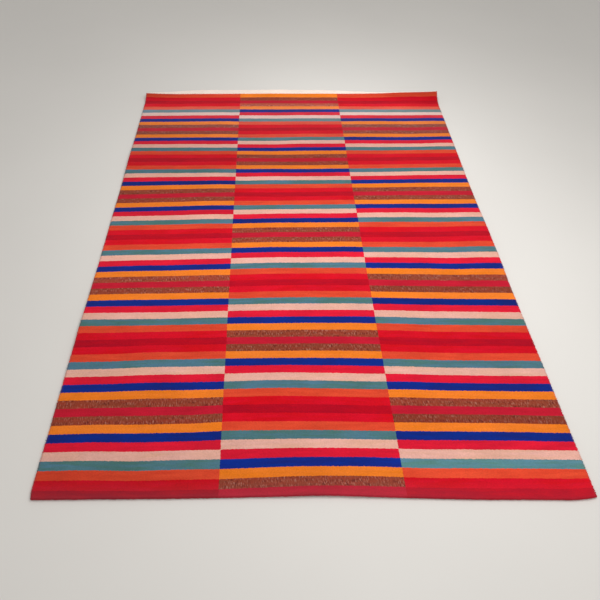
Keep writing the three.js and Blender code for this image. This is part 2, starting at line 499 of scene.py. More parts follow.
def pile_height(sizes, lie, across, along, column):
    """Height of the pile's surface above the underside."""
    inset = np.minimum(lie.half_width - np.abs(across), lie.half_length - along)
    inset = np.maximum(np.minimum(inset, along - lie.near_end(across)), 0)
    full = np.minimum(inset / sizes.edge_round, 1)
    round_off = np.sqrt(1 - (1 - full) ** 2)
    relief = np.zeros_like(across)
    for layer in PILE_RELIEF:
        relief += layer["height"] * Lumps(layer["seed"], layer["size"])(across, along)
    row = (along + lie.half_length) / sizes.pitch
    to_border = np.abs(row - np.round(row)) * sizes.pitch
    joint = lie.half_width / COLUMNS
    to_joint = np.abs(np.abs(across) - joint)
    near = np.minimum(to_border, to_joint)
    relief -= STRIPE_GROOVE["depth"] * np.exp(-((near / STRIPE_GROOVE["width"]) ** 2))
    draw = np.random.default_rng(STRIPE_UNEVEN["seed"] + column)
    step = draw.normal(0, STRIPE_UNEVEN["height"], sizes.stripes + 2)
    soft = np.minimum(to_border / STRIPE_UNEVEN["border"], 1)
    relief += step[np.clip(row, 0, sizes.stripes).astype(int)] * soft
    draw = np.random.default_rng(TUFT_UNEVEN["seed"] + column)
    relief += draw.normal(0, TUFT_UNEVEN["height"], len(across))
    return sizes.cloth + sizes.pile * round_off + relief * full


def pile_column(name, column, sizes, lie):
    """One column of the pile, from end to end of the rug."""
    bm = bmesh.new()
    slab(bm)
    if column > 0:
        sharpen_rim(bm, -0.5)
    if column < COLUMNS - 1:
        sharpen_rim(bm, 0.5)
    piece = new_piece(name, bm)
    share = vertex_places(piece.data)
    knot = sizes.pitch / sizes.knots
    width = sizes.width / COLUMNS
    left = -lie.half_width + column * width
    across = left + (share[:, 0] + 0.5) * width
    if column == 0:
        across = -lie.half_width + edge_drawn(across + lie.half_width, knot)
    if column == COLUMNS - 1:
        across = lie.half_width - edge_drawn(lie.half_width - across, knot)
    from_near = edge_drawn((share[:, 1] + 0.5) * 2 * lie.half_length, knot)
    from_far = edge_drawn((0.5 - share[:, 1]) * 2 * lie.half_length, knot)
    along = np.where(share[:, 1] < 0, from_near - lie.half_length, lie.half_length - from_far)
    start = lie.near_end(across)
    loss = start + lie.half_length
    along = np.where(from_near < sizes.pitch, start + from_near * (1 - loss / sizes.pitch), along)
    top = share[:, 2] > 0.5
    height = np.where(top, pile_height(sizes, lie, across, along, column), PILE_FOOT)
    humps = Lumps(RIM_UNEVEN["seed"] + column, RIM_UNEVEN["knots"] * knot)
    ragged = humps(across, along) * RIM_UNEVEN["reach"]
    to_side = lie.half_width - np.abs(across)
    to_end = np.minimum(lie.half_length - along, along - start)
    out_across = across + ragged * np.exp(-to_side / RIM_UNEVEN["fade"]) * np.sign(across)
    out_along = along + ragged * np.exp(-to_end / RIM_UNEVEN["fade"]) * np.sign(along)
    write_cloth(piece.data, across, along, lie.place(out_across, out_along, height))
    write_inset(piece.data, np.maximum(np.minimum(to_side, to_end), 0))
    write_painted_light_and_hank_tone(piece.data, across, along, sizes, lie)
    return piece


def write_inset(mesh, inset):
    """Keeps how far each point is from the pile's edge."""
    layer = mesh.attributes.new("inset", "FLOAT", "POINT")
    layer.data.foreach_set("value", inset)


def write_painted_light_and_hank_tone(mesh, across, along, sizes, lie):
    """Keeps how light each face's pile looks: painted light and shade by where it is, and its hank's dye.
    """
    first = np.empty(len(mesh.polygons), dtype=int)
    mesh.polygons.foreach_get("loop_start", first)
    corners = np.empty(len(mesh.loops), dtype=int)
    mesh.loops.foreach_get("vertex_index", corners)
    near, far = corners[first], corners[first + 2]
    x, y = (across[near] + across[far]) / 2, (along[near] + along[far]) / 2
    # Painted light and shade by place, then the odd hanks' own dye.
    tone = 1 + sum(place["change"] * mound(place, x, y) for place in PAINTED_LIGHT_PATCHES)
    stripe = np.floor((y + lie.half_length) / sizes.pitch)
    column = np.floor(lie.share_across(x) * COLUMNS)
    for hank in ODD_HANKS:
        mine = (column == hank["column"]) & (stripe == hank["stripe"])
        tone = np.where(mine, tone * hank["tone"], tone)
    layer = mesh.attributes.new("tone", "FLOAT", "FACE")
    layer.data.foreach_set("value", tone)


# Tufts at the pile's edges lean out over them, in staggered lines that follow the pile's rounding
LOCK_SIDES = 5
LOCK_LINES = (
    {"inset": 1.9 * MM, "tall": 0.56, "lean": 2.6 * MM},
    {"inset": 3.0 * MM, "tall": 0.70, "lean": 2.4 * MM},
    {"inset": 4.4 * MM, "tall": 0.79, "lean": 2.2 * MM},
)
LOCK_RADIUS = {"foot": 1.5 * MM, "tip": 0.8 * MM}
LOCK_UNEVEN = {
    "seed": 71, "place": (-0.4, 0.4), "inset": 0.4 * MM, "sway": 1.0 * MM,
    "size": (0.92, 1.10), "lean": (0.6, 1.2),
}
# A lock leans more towards its tip and thins towards it, and its dye is read from further in as it rises
LOCK_BEND = 1.6
LOCK_TAPER = 2
LOCK_INWARD = 0.5
FAR_LEAN = 0.6
COPY_STEP = 4.0


def lock_row(count):
    """Upright locks of one unit each way, in a row, with their middles COPY_STEP apart."""
    bm = bmesh.new()
    bmesh.ops.create_cone(
        bm, cap_ends=True, cap_tris=False, segments=LOCK_SIDES, radius1=1.0, radius2=1.0, depth=1.0,
    )
    upright = [edge for edge in bm.edges if abs(edge.verts[0].co.z - edge.verts[1].co.z) > 0.5]
    bmesh.ops.subdivide_edges(bm, edges=upright, cuts=1)
    bmesh.ops.translate(bm, verts=bm.verts, vec=(0, 0, 0.5))
    piece = new_piece("lock", bm)
    array = piece.modifiers.new("row", "ARRAY")
    array.use_relative_offset = False
    array.use_constant_offset = True
    array.constant_offset_displace = (COPY_STEP, 0, 0)
    array.count = count
    shaped = piece.evaluated_get(bpy.context.evaluated_depsgraph_get())
    mesh = bpy.data.meshes.new_from_object(shaped)
    single = piece.data
    bpy.data.objects.remove(piece)
    bpy.data.meshes.remove(single)
    return mesh


def lock_feet(sizes, lie):
    """Where the locks stand in cloth coordinates, the way out of the pile, and how each one leans."""
    draw = np.random.default_rng(LOCK_UNEVEN["seed"])
    lines = {key: np.array([line[key] for line in LOCK_LINES]) for key in LOCK_LINES[0]}
    knot_along, knot_across = sizes.pitch / sizes.knots, sizes.width / COLUMNS / sizes.knots_across
    feet = []
    for side, run, knot in (
        ("left", lie.half_length, knot_along), ("right", lie.half_length, knot_along),
        ("near", lie.half_width, knot_across), ("far", lie.half_width, knot_across),
    ):
        count = round(2 * run / knot) * len(LOCK_LINES)
        number = np.arange(count)
        line = number % len(LOCK_LINES)
        place = -run + (number + 0.5 + draw.uniform(*LOCK_UNEVEN["place"], count)) * 2 * run / count
        inset = lines["inset"][line] + draw.normal(0, LOCK_UNEVEN["inset"], count)
        tall, lean = lines["tall"][line], lines["lean"][line]
        out = np.ones(count)
        if side in ("left", "right"):
            way = -1 if side == "left" else 1
            low = lie.near_end(way * lie.half_width * out) + inset
            row = (way * (lie.half_width - inset), np.maximum(place, low), way * out, 0 * out)
        elif side == "near":
            row = (place, lie.near_end(place) + inset, 0 * out, -out)
        else:
            row = (place, lie.half_length - inset, 0 * out, out)
            lean = lean * FAR_LEAN
        lean = lean * draw.uniform(*LOCK_UNEVEN["lean"], count)
        sway = draw.normal(0, LOCK_UNEVEN["sway"], count)
        size = draw.uniform(*LOCK_UNEVEN["size"], count)
        feet.append(np.stack([*row, lean, sway, size, tall * size], axis=1))
    return np.concatenate(feet)


def edge_tufts(name, sizes, lie):
    """The pile's outermost tufts, which lean out all round the rug."""
    feet = lock_feet(sizes, lie)
    mesh = lock_row(len(feet))
    mesh.name = name
    unit = vertex_places(mesh)
    index = np.round(unit[:, 0] / COPY_STEP).astype(int)
    round_x, round_y, up = unit[:, 0] - index * COPY_STEP, unit[:, 1], unit[:, 2]
    across, along, out_x, out_y, lean, sway, size, tall = feet[index].T
    radius = mixed(LOCK_RADIUS["foot"], LOCK_RADIUS["tip"], up**LOCK_TAPER) * size
    out = lean * up**LOCK_BEND + radius * round_y
    beside = sway * up + radius * round_x
    x = across + out_x * out + out_y * beside
    y = along + out_y * out - out_x * beside
    height = mixed(sizes.cloth / 2, sizes.cloth + sizes.pile * tall, up)
    piece = bpy.data.objects.new(name, mesh)
    bpy.context.scene.collection.objects.link(piece)
    inward = LOCK_INWARD * (height - sizes.cloth / 2)
    write_cloth(mesh, across - out_x * inward, along - out_y * inward, lie.place(x, y, height))
    write_inset(mesh, np.full(len(unit), LOCK_LINES[0]["inset"]))
    write_painted_light_and_hank_tone(mesh, across, along, sizes, lie)
    return piece


def stations(index, stops, values):
    """Piecewise even steps: at each stop the line has the value given for it."""
    place = np.zeros_like(index, dtype=float)
    for k in range(len(stops) - 1):
        inside = (index >= stops[k]) & (index <= stops[k + 1])
        share = (index - stops[k]) / (stops[k + 1] - stops[k])
        place = np.where(inside, mixed(values[k], values[k + 1], share), place)
    return place


# Cells of the foundation across the rug, and the rows at which the pile's field and the web end
FOUNDATION_CELLS = 140
FOUNDATION_STOPS = (0, 151, 165)
WEB_RIPPLE = {"seed": 61, "size": 0.045, "height": 1.1 * MM}
WEB_EDGE = {"seed": 62, "size": 0.012, "uneven": 0.9 * MM}
WEB_THIN = {"rim": 0.4, "power": 3}


def foundation(name, sizes, lie):
    """The knotted ground of the rug, in one sheet with the plain woven web at its far end."""
    bm = bmesh.new()
    rows = FOUNDATION_STOPS[-1]
    bmesh.ops.create_grid(bm, x_segments=FOUNDATION_CELLS, y_segments=rows, size=0.5)
    made = bmesh.ops.extrude_face_region(bm, geom=bm.faces[:], use_keep_orig=True)["geom"]
    raised = [item for item in made if isinstance(item, bmesh.types.BMVert)]
    bmesh.ops.translate(bm, verts=raised, vec=(0, 0, 1))
    bmesh.ops.recalc_face_normals(bm, faces=bm.faces)
    piece = new_piece(name, bm)
    share = vertex_places(piece.data)
    across = share[:, 0] * 2 * (lie.half_width - sizes.tuck)
    start = lie.near_end(across)
    end = np.full_like(start, lie.half_length)
    index = (share[:, 1] + 0.5) * rows
    values = (start + sizes.tuck, end, end + lie.far_web(across))
    along = stations(index, FOUNDATION_STOPS, values)
    out = np.clip((along - end) / np.maximum(lie.far_web(across), MM), 0, 1)
    thickness = sizes.cloth * mixed(1, WEB_THIN["rim"], out**WEB_THIN["power"])
    ripple = Lumps(WEB_RIPPLE["seed"], WEB_RIPPLE["size"])(across, along) * WEB_RIPPLE["height"] * out
    height = np.where(share[:, 2] > 0.5, thickness, 0) + ripple
    along += Lumps(WEB_EDGE["seed"], WEB_EDGE["size"])(across, along) * WEB_EDGE["uneven"] * out
    write_cloth(piece.data, across, along, lie.place(across, along, height))
    return piece


# The part of a noise's range that it mostly stays in
NOISE_RANGE = (0.3, 0.7)
# Noise in the yarns and weaves: how often it varies in a metre across and along the rug, the slice that
# it is read at, so that no two are alike, and its detail. Hanks and patches are read along by the stripe.
GRAINS = {
    "hank": {"across": 4.0, "along": 3.7, "slice": 0.0, "detail": 1.0},
    "yarn": {"across": 9.0, "along": 85.0, "slice": 2.0, "detail": 2.0},
    "wander": {"across": 60.0, "along": 60.0, "slice": 6.0, "detail": 2.0},
    "strand": {"across": 300.0, "along": 70.0, "slice": 3.0, "detail": 2.0, "roughness": 0.6},
    "tweed_clump": {"across": 24.0, "along": 60.0, "slice": 9.0, "detail": 2.0},
    "fray_across": {"across": 900.0, "along": 900.0, "slice": 5.0, "detail": 2.0},
    "fray_along": {"across": 900.0, "along": 900.0, "slice": 8.0, "detail": 2.0},
    "streak": {"across": 11.0, "along": 70.0, "slice": 2.0, "detail": 3.0},
    "patch": {"across": 6.0, "along": 2.3, "slice": 7.0, "detail": 3.0},
    "clump": {"across": 38.0, "along": 55.0, "slice": 9.0, "detail": 3.0},
    "fibre": {"across": 1400.0, "along": 1400.0, "slice": 1.0, "detail": 2.0},
    "worn": {"across": 160.0, "along": 90.0, "slice": 4.0, "detail": 2.0},
    "slub": {"across": 60.0, "along": 420.0, "slice": 0.0, "detail": 3.0},
    "web_tone": {"across": 9.0, "along": 30.0, "slice": 4.0, "detail": 2.0},
}


class Shade:
    """Adds nodes to one material, and reads numbers or other nodes' sockets as inputs."""

    def __init__(self, name):
        self.material = bpy.data.materials.new(name)
        self.material.use_nodes = True
        self.tree = self.material.node_tree
        self.tree.nodes.clear()

    def node(self, kind, inputs, **settings):
        made = self.tree.nodes.new(kind)
        for key, value in settings.items():
            setattr(made, key, value)
        for key, value in inputs.items():
            self.feed(made.inputs[key], value)
        return made

    def feed(self, socket, value):
        if isinstance(value, bpy.types.NodeSocket):
            self.tree.links.new(value, socket)
        else:
            socket.default_value = value

    def math(self, operation, *values):
        inputs = dict(enumerate(values))
        return self.node("ShaderNodeMath", inputs, operation=operation).outputs[0]

    def times(self, a, b):
        return self.math("MULTIPLY", a, b)

    def vector(self, x, y, z=0.0):
        return self.node("ShaderNodeCombineXYZ", {"X": x, "Y": y, "Z": z}).outputs[0]

    def cloth(self):
        """The cloth coordinates of a point, across and along, in metres."""
        uv = self.node("ShaderNodeUVMap", {}, uv_map="cloth").outputs[0]
        parts = self.node("ShaderNodeSeparateXYZ", {"Vector": uv})
        return parts.outputs["X"], parts.outputs["Y"]

    def kept(self, name):
        """A value that the mesh keeps under a name."""
        return self.node("ShaderNodeAttribute", {}, attribute_name=name).outputs["Fac"]

    def grain(self, name, x, y):
        """Noise from the table of grains, from 0 to 1 with a mean of a half."""
        kind = GRAINS[name]
        place = self.vector(self.times(x, kind["across"]), self.times(y, kind["along"]), kind["slice"])
        inputs = {
            "Vector": place, "Scale": 1.0, "Detail": kind["detail"],
            "Roughness": kind.get("roughness", 0.5),
        }
        return self.node("ShaderNodeTexNoise", inputs).outputs["Fac"]

    def chance(self, x, y):
        """One even random number for each cell."""
        return self.node("ShaderNodeTexWhiteNoise", {"Vector": self.vector(x, y)}).outputs["Value"]

    def cells(self, x, y, jitter):
        """Uneven cells, one to each unit square: how far off its middle a point is, and which square."""
        lift = 0.5 - jitter / 2
        place = self.vector(self.math("SUBTRACT", x, lift), self.math("SUBTRACT", y, lift))
        inputs = {"Vector": place, "Scale": 1.0, "Randomness": jitter}
        made = self.node("ShaderNodeTexVoronoi", inputs, voronoi_dimensions="2D")
        middle = self.node("ShaderNodeSeparateXYZ", {"Vector": made.outputs["Position"]})
        column = self.math("FLOOR", self.math("ADD", middle.outputs["X"], lift))
        line = self.math("FLOOR", self.math("ADD", middle.outputs["Y"], lift))
        return made.outputs["Distance"], column, line

    def spread(self, value, low, high, low_out=0.0, high_out=1.0):
        """value from low to high, stretched to a new range and held inside it."""
        inputs = {
            "Value": value, "From Min": low, "From Max": high, "To Min": low_out, "To Max": high_out,
        }
        return self.node("ShaderNodeMapRange", inputs, clamp=True).outputs["Result"]

    def mix(self, share, a, b):
        made = self.node("ShaderNodeMix", {}, data_type="RGBA", blend_type="MIX", clamp_factor=True)
        for socket, value in zip((made.inputs[0], made.inputs[6], made.inputs[7]), (share, a, b)):
            self.feed(socket, (*value, 1.0) if isinstance(value, tuple) else value)
        return made.outputs[2]

    def brighten(self, colour_in, value):
        return self.node("ShaderNodeHueSaturation", {"Color": colour_in, "Value": value}).outputs[0]

    def ramp(self, share, colours):
        """Even bands of flat colour."""
        made = self.node("ShaderNodeValToRGB", {"Fac": share})
        band = made.color_ramp
        band.interpolation = "CONSTANT"
        band.elements.remove(band.elements[1])
        band.elements[0].color = (*colours[0], 1)
        for k in range(1, len(colours)):
            band.elements.new(k / len(colours)).color = (*colours[k], 1)
        return made.outputs["Color"]

    def finish(self, bsdf_inputs, heights):
        """The surface, with one bump on another from (height, distance, strength)."""
        normal = None
        for height, distance, strength in heights:
            inputs = {"Height": height, "Distance": distance, "Strength": strength}
            if normal is not None:
                inputs["Normal"] = normal
            normal = self.node("ShaderNodeBump", inputs).outputs["Normal"]
        surface = self.node("ShaderNodeBsdfPrincipled", {**bsdf_inputs, "Normal": normal})
        self.node("ShaderNodeOutputMaterial", {"Surface": surface.outputs[0]})
        return self.material


# The drift between a yarn's two shades: the share that goes by the hank, and the part of the noise's
# range that it is stretched over
DRIFT = {"by_hank": 0.4, "low": 0.40, "high": 0.60}


def stripe_colours(shade, sizes, dyes, x, y):
    """The dyed yarn at a point, where it is tweed, and its stripe's number in the repeat's order."""
    half_length = sizes.pitch * sizes.stripes / 2
    row = shade.math("FLOOR", shade.math("DIVIDE", shade.math("ADD", y, half_length), sizes.pitch))
    middle = shade.math("LESS_THAN", shade.math("ABSOLUTE", x), sizes.width / COLUMNS / 2)
    place = shade.math("MULTIPLY_ADD", middle, len(REPEAT) / 2, row)
    share = shade.math("FRACT", shade.math("DIVIDE", shade.math("ADD", place, 0.5), len(REPEAT)))
    main = shade.ramp(share, [tuple(getattr(dyes, name)) for name in REPEAT])
    second = shade.ramp(share, [tuple(getattr(dyes, name + "_drift")) for name in REPEAT])
    tweed = shade.ramp(share, [(1.0,) * 3 if name == "tweed" else (0.0,) * 3 for name in REPEAT])
    by_hank = shade.times(shade.grain("hank", x, place), DRIFT["by_hank"])
    by_yarn = shade.times(shade.grain("yarn", x, y), 1 - DRIFT["by_hank"])
    drift = shade.spread(shade.math("ADD", by_hank, by_yarn), DRIFT["low"], DRIFT["high"])
    return shade.mix(drift, main, second), tweed, place


# The tweed's strands: their slant, how far they wander in their own widths, how quiet they are between
# clumps, and the ranges of the noise that make a strand light or dark
TWEED = {"slant": 0.12, "wander": 1.3, "quiet": 0.2, "clumps": (0.38, 0.62)}
LIGHT_STRANDS = {"from": 0.54, "to": 0.62, "share": 0.60}
DARK_STRANDS = {"from": 0.48, "to": 0.41, "share": 0.85}


def tweed_flecks(shade, base, dyes, x, y):
    """Light and dark strands that lie a little slanted in the brown yarn, in loose clumps."""
    slanted = shade.math("MULTIPLY_ADD", y, TWEED["slant"], x)
    wander = shade.grain("wander", x, y)
    strand_x = shade.math("MULTIPLY_ADD", wander, TWEED["wander"] / GRAINS["strand"]["across"], slanted)
    strand = shade.grain("strand", strand_x, y)
    lively = shade.spread(shade.grain("tweed_clump", x, y), *TWEED["clumps"], TWEED["quiet"], 1.0)
    for kind, fleck in ((LIGHT_STRANDS, dyes.fleck), (DARK_STRANDS, dyes.dark_fleck)):
        share = shade.times(shade.spread(strand, kind["from"], kind["to"]), lively)
        base = shade.mix(shade.times(share, kind["share"]), base, tuple(fleck))
    return base


# Knots: how uneven their cells are, how far their fibres stray, and how much of a stripe's border
# follows whole knots
KNOT_JITTER = 0.5
FRAY = 2.2 * MM
BORDER_BY_KNOT = 0.45


def knot_cells(shade, sizes, x, y):
    """The knot that a point is in: how far off its middle, its numbers, and the place its dye goes by."""
    knot_along = sizes.pitch / sizes.knots
    knot_across = sizes.width / COLUMNS / sizes.knots_across
    left, near = sizes.width / 2, sizes.pitch * sizes.stripes / 2
    u = shade.math("DIVIDE", shade.math("ADD", x, left), knot_across)
    v = shade.math("DIVIDE", shade.math("ADD", y, near), knot_along)
    away, column, line = shade.cells(u, v, KNOT_JITTER)
    dyed_x = shade.math("MULTIPLY_ADD", shade.math("ADD", column, 0.5), knot_across, -left)
    knot_y = shade.math("MULTIPLY_ADD", shade.math("ADD", line, 0.5), knot_along, -near)
    dyed_y = shade.math("MULTIPLY_ADD", shade.math("SUBTRACT", knot_y, y), BORDER_BY_KNOT, y)
    first, last = knot_along / 2 - near, near - knot_along / 2
    dyed_y = shade.math("MINIMUM", shade.math("MAXIMUM", dyed_y, first), last)
    return away, column, line, dyed_x, dyed_y


# Light: its range from knot to knot, the painted shade that darkens a knot from its middle to its rim,
# where the gaps between tufts lie, and how far each of the grains moves it
KNOT_LIGHT = (0.955, 1.045)
PAINTED_GAP_SHADE = {"middle": 0.2, "rim": 0.75, "middle_light": 1.04, "rim_light": 0.84}
GRAIN_LIGHT = {"streak": 0.11, "patch": 0.16, "clump": 0.06, "fibre": 0.26}
GRAIN_RANGE = (0.25, 0.75)


def tuft_light_and_gap_shade(shade, knot, away, grains):
    """How light a tuft is beside its neighbours, with painted shade towards its rim, where it meets them.
    """
    fall = PAINTED_GAP_SHADE
    light = shade.times(
        shade.spread(knot, 0, 1, *KNOT_LIGHT),
        shade.spread(away, fall["middle"], fall["rim"], fall["middle_light"], fall["rim_light"]),
    )
    for name, reach in GRAIN_LIGHT.items():
        light = shade.times(light, shade.spread(grains[name], *GRAIN_RANGE, 1 - reach / 2, 1 + reach / 2))
    return light


# Pale films on the pile, some of them painted light. Fuzz, the fibres' paler sides with painted light
# that the rounded edge catches, fades from the pile's edge inwards. Felt fades from the near end, and
# from left to right. The painted sheen band is measured from the far end, and paler yarn has more of it.
FUZZ_AND_EDGE_LIGHT = {"outer": 1 * MM, "inner": 9 * MM, "share": 0.06, "least": 0.5}
FELT = {
    "full": 15 * MM, "ends": 65 * MM, "left": 200 * MM, "right": 600 * MM,
    "least": 0.5, "share": 0.10,
}
PAINTED_SHEEN_BAND = {
    "starts": 520 * MM, "full": 220 * MM, "fades": 150 * MM, "ends": 100 * MM,
    "power": 0.75, "share": 0.95,
}


def pale_films_and_painted_sheen(shade, sizes, dyes, base, x, y, clump):
    """Fuzz and painted edge light, felt over the first stripes, and a painted sheen before the far end.
    """
    near = sizes.pitch * sizes.stripes / 2
    # Fuzz: the fibres' paler sides, and painted light that the rounded edge catches.
    edge = shade.spread(shade.kept("inset"), FUZZ_AND_EDGE_LIGHT["inner"], FUZZ_AND_EDGE_LIGHT["outer"])
    edge = shade.times(edge, shade.spread(clump, *NOISE_RANGE, FUZZ_AND_EDGE_LIGHT["least"], 1.0))
    base = shade.mix(shade.times(edge, FUZZ_AND_EDGE_LIGHT["share"]), base, tuple(dyes.fuzz_and_edge_light))
    felted = shade.times(
        shade.spread(y, FELT["ends"] - near, FELT["full"] - near),
        shade.spread(x, FELT["left"], FELT["right"], 1.0, FELT["least"]),
    )
    base = shade.mix(shade.times(felted, FELT["share"]), base, tuple(dyes.felt))
    # A painted sheen before the far end, stronger on paler yarn.
    sheen_band = shade.times(
        shade.spread(y, near - PAINTED_SHEEN_BAND["starts"], near - PAINTED_SHEEN_BAND["full"]),
        shade.spread(y, near - PAINTED_SHEEN_BAND["ends"], near - PAINTED_SHEEN_BAND["fades"]),
    )
    parts = shade.node("ShaderNodeSeparateColor", {"Color": base}).outputs
    least = shade.math("MINIMUM", parts["Red"], shade.math("MINIMUM", parts["Green"], parts["Blue"]))
    pale = shade.times(shade.math("POWER", least, PAINTED_SHEEN_BAND["power"]), PAINTED_SHEEN_BAND["share"])
    return shade.mix(shade.times(sheen_band, pale), base, tuple(dyes.painted_sheen))


WOOL = {
    "Roughness": 0.95, "Specular IOR Level": 0.08,
    "Sheen Weight": 0.09, "Sheen Roughness": 0.45, "Sheen Tint": (1.0, 0.9, 0.88, 1.0),
}
# Bumps, as depth and strength
CLUMP_BUMP = (1.2 * MM, 0.5)
KNOT_BUMP = (1.6 * MM, 0.4)
FIBRE_BUMP = (0.6 * MM, 0.5)


def pile_material(sizes, dyes):
    """Cut wool pile: tufts of dyed yarn, each a little off its neighbours in shade."""
    shade = Shade("cut_wool_pile")
    x, y = shade.cloth()
    frayed_x, frayed_y = (
        shade.math("ADD", place, shade.times(shade.math("SUBTRACT", shade.grain(name, x, y), 0.5), FRAY))
        for place, name in ((x, "fray_across"), (y, "fray_along"))
    )
    away, column, line, dyed_x, dyed_y = knot_cells(shade, sizes, frayed_x, frayed_y)
    base, tweed, place = stripe_colours(shade, sizes, dyes, dyed_x, dyed_y)
    base = shade.mix(tweed, base, tweed_flecks(shade, base, dyes, frayed_x, frayed_y))
    grains = {name: shade.grain(name, x, place if name == "patch" else y) for name in GRAIN_LIGHT}
    # Tufts get painted shade at their rims; the kept tone adds painted light and shade, and odd hanks'
    # dye.
    light = tuft_light_and_gap_shade(shade, shade.chance(column, line), away, grains)
    base = shade.brighten(base, shade.times(light, shade.kept("tone")))
    # Fuzz with painted edge light, felt, and a painted sheen before the far end.
    base = pale_films_and_painted_sheen(shade, sizes, dyes, base, x, y, grains["clump"])
    dome = shade.math("SUBTRACT", 1.0, shade.times(away, away))
    heights = ((grains["clump"], *CLUMP_BUMP), (dome, *KNOT_BUMP), (grains["fibre"], *FIBRE_BUMP))
    return shade.finish({"Base Color": base, **WOOL}, heights)


# The back: the light of its knots, how low a knot is at its sides, and the weft that shows between their
# rows where it isn't worn away
BACK_YARN = {"Roughness": 0.9, "Specular IOR Level": 0.2}
BACK_LIGHT = (0.80, 0.98)
BACK_BEAD = {"full": 0.6, "least": 0.4}
BACK_BUMP = (1.2 * MM, 0.9)
WEFT = {"from": 0.42, "to": 0.22, "share": 0.55, "worn": (0.35, 0.6), "least": 0.25}


def back_material(sizes, dyes):
    """The back of the knots: the stripes again, flatter and duller, between lines of undyed weft."""
    shade = Shade("knotted_back")
    x, y = shade.cloth()
    base = stripe_colours(shade, sizes, dyes, x, y)[0]
    column = shade.math("DIVIDE", x, sizes.width / COLUMNS / sizes.knots_across)
    line = shade.math("DIVIDE", y, sizes.pitch / sizes.knots)
    knot = shade.chance(shade.math("FLOOR", column), shade.math("FLOOR", line))
    base = shade.brighten(base, shade.spread(knot, 0, 1, *BACK_LIGHT))
    ridge = shade.math("ABSOLUTE", shade.math("SINE", shade.times(line, math.pi)))
    bead = shade.math("ABSOLUTE", shade.math("SINE", shade.times(column, math.pi)))
    worn = shade.spread(shade.grain("worn", x, y), *WEFT["worn"], WEFT["least"], 1.0)
    weft = shade.times(shade.spread(ridge, WEFT["from"], WEFT["to"]), worn)
    base = shade.mix(shade.times(weft, WEFT["share"]), base, tuple(dyes.web))
    height = shade.times(ridge, shade.spread(bead, 0, BACK_BEAD["full"], BACK_BEAD["least"], 1.0))
    return shade.finish({"Base Color": base, **BACK_YARN}, ((height, *BACK_BUMP),))


# The web's weave: its repeat along and across the rug, and its bumps as depth and strength
WEB_YARN = {
    "Roughness": 0.88, "Specular IOR Level": 0.2, "Sheen Weight": 0.15, "Sheen Roughness": 0.5,
}
WEAVE = {"rib": 2.3 * MM, "warp": 7.6 * MM}
WEAVE_BUMP = (0.7 * MM, 0.8)
SLUB_BUMP = (0.6 * MM, 0.6)
SLUB_LIGHT = (0.95, 1.05)
WEB_LIGHT = (0.96, 1.04)


def web_material(dyes):
    """Undyed yarn in a plain weave, beaten close, with its ribs across the rug."""
    shade = Shade("woven_web")
    x, y = shade.cloth()
    rib = shade.math("SINE", shade.times(y, 2 * math.pi / WEAVE["rib"]))
    warp = shade.math("SINE", shade.times(x, 2 * math.pi / WEAVE["warp"]))
    slub = shade.grain("slub", x, y)
    base = shade.brighten((*dyes.web, 1.0), shade.spread(slub, *NOISE_RANGE, *SLUB_LIGHT))
    base = shade.brighten(base, shade.spread(shade.grain("web_tone", x, y), *NOISE_RANGE, *WEB_LIGHT))
    heights = ((shade.times(rib, warp), *WEAVE_BUMP), (slub, *SLUB_BUMP))
    return shade.finish({"Base Color": base, **WEB_YARN}, heights)


# The floor's unevenness: noise as its scale and detail, and the light and the bump that it makes
FLOOR_FINISH = {"Roughness": 0.7, "Specular IOR Level": 0.3}
FLOOR_CLOUD = {"Scale": 1.3, "Detail": 4.0}
FLOOR_GRAIN = {"Scale": 260.0, "Detail": 2.0}
FLOOR_LIGHT = (0.985, 1.015)
FLOOR_BUMP = (0.4 * MM, 0.15)


def floor_material(floor):
    """A plain pale floor with a faint unevenness."""
    shade = Shade("pale_floor")
    place = shade.node("ShaderNodeTexCoord", {}).outputs["Object"]
    cloud = shade.node("ShaderNodeTexNoise", {"Vector": place, **FLOOR_CLOUD}).outputs["Fac"]
    grain = shade.node("ShaderNodeTexNoise", {"Vector": place, **FLOOR_GRAIN}).outputs["Fac"]
    base = shade.brighten((*floor, 1.0), shade.spread(cloud, *NOISE_RANGE, *FLOOR_LIGHT))
    return shade.finish({"Base Color": base, **FLOOR_FINISH}, ((grain, *FLOOR_BUMP),))


class RUG_OT_foundation(bpy.types.Operator):
    """Make the knotted foundation with its woven end web"""

    bl_idname = "rug.foundation"
    bl_label = "Foundation and web"

    def execute(self, context):
        sizes, dyes = context.scene.rug_sizes, context.scene.rug_dyes
        lie = Lie(sizes)
        piece = foundation("foundation", sizes, lie)
        mesh = piece.data
        mesh.materials.append(back_material(sizes, dyes))
        mesh.materials.append(web_material(dyes))
        uv = np.empty(len(mesh.loops) * 2)
        mesh.uv_layers["cloth"].uv.foreach_get("vector", uv)
        along = uv[1::2]
        first = np.empty(len(mesh.polygons), dtype=int)
        mesh.polygons.foreach_get("loop_start", first)
        in_web = (along[first] + along[first + 2]) / 2 > lie.half_length
        mesh.polygons.foreach_set("material_index", in_web.astype(np.int32))
        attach(piece, BODY)
        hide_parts(SOLID)
        return {"FINISHED"}


PILE_NAMES = ("pile_left", "pile_middle", "pile_right")


class RUG_OT_pile(bpy.types.Operator):
    """Make the cut pile, in three columns of stripes"""

    bl_idname = "rug.pile"
    bl_label = "Pile"

    def execute(self, context):
        sizes, dyes = context.scene.rug_sizes, context.scene.rug_dyes
        lie = Lie(sizes)
        wool = pile_material(sizes, dyes)
        for column, name in enumerate(PILE_NAMES):
            piece = pile_column(name, column, sizes, lie)
            piece.data.materials.append(wool)
            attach(piece, BODY)
            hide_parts(SOLID)
        return {"FINISHED"}


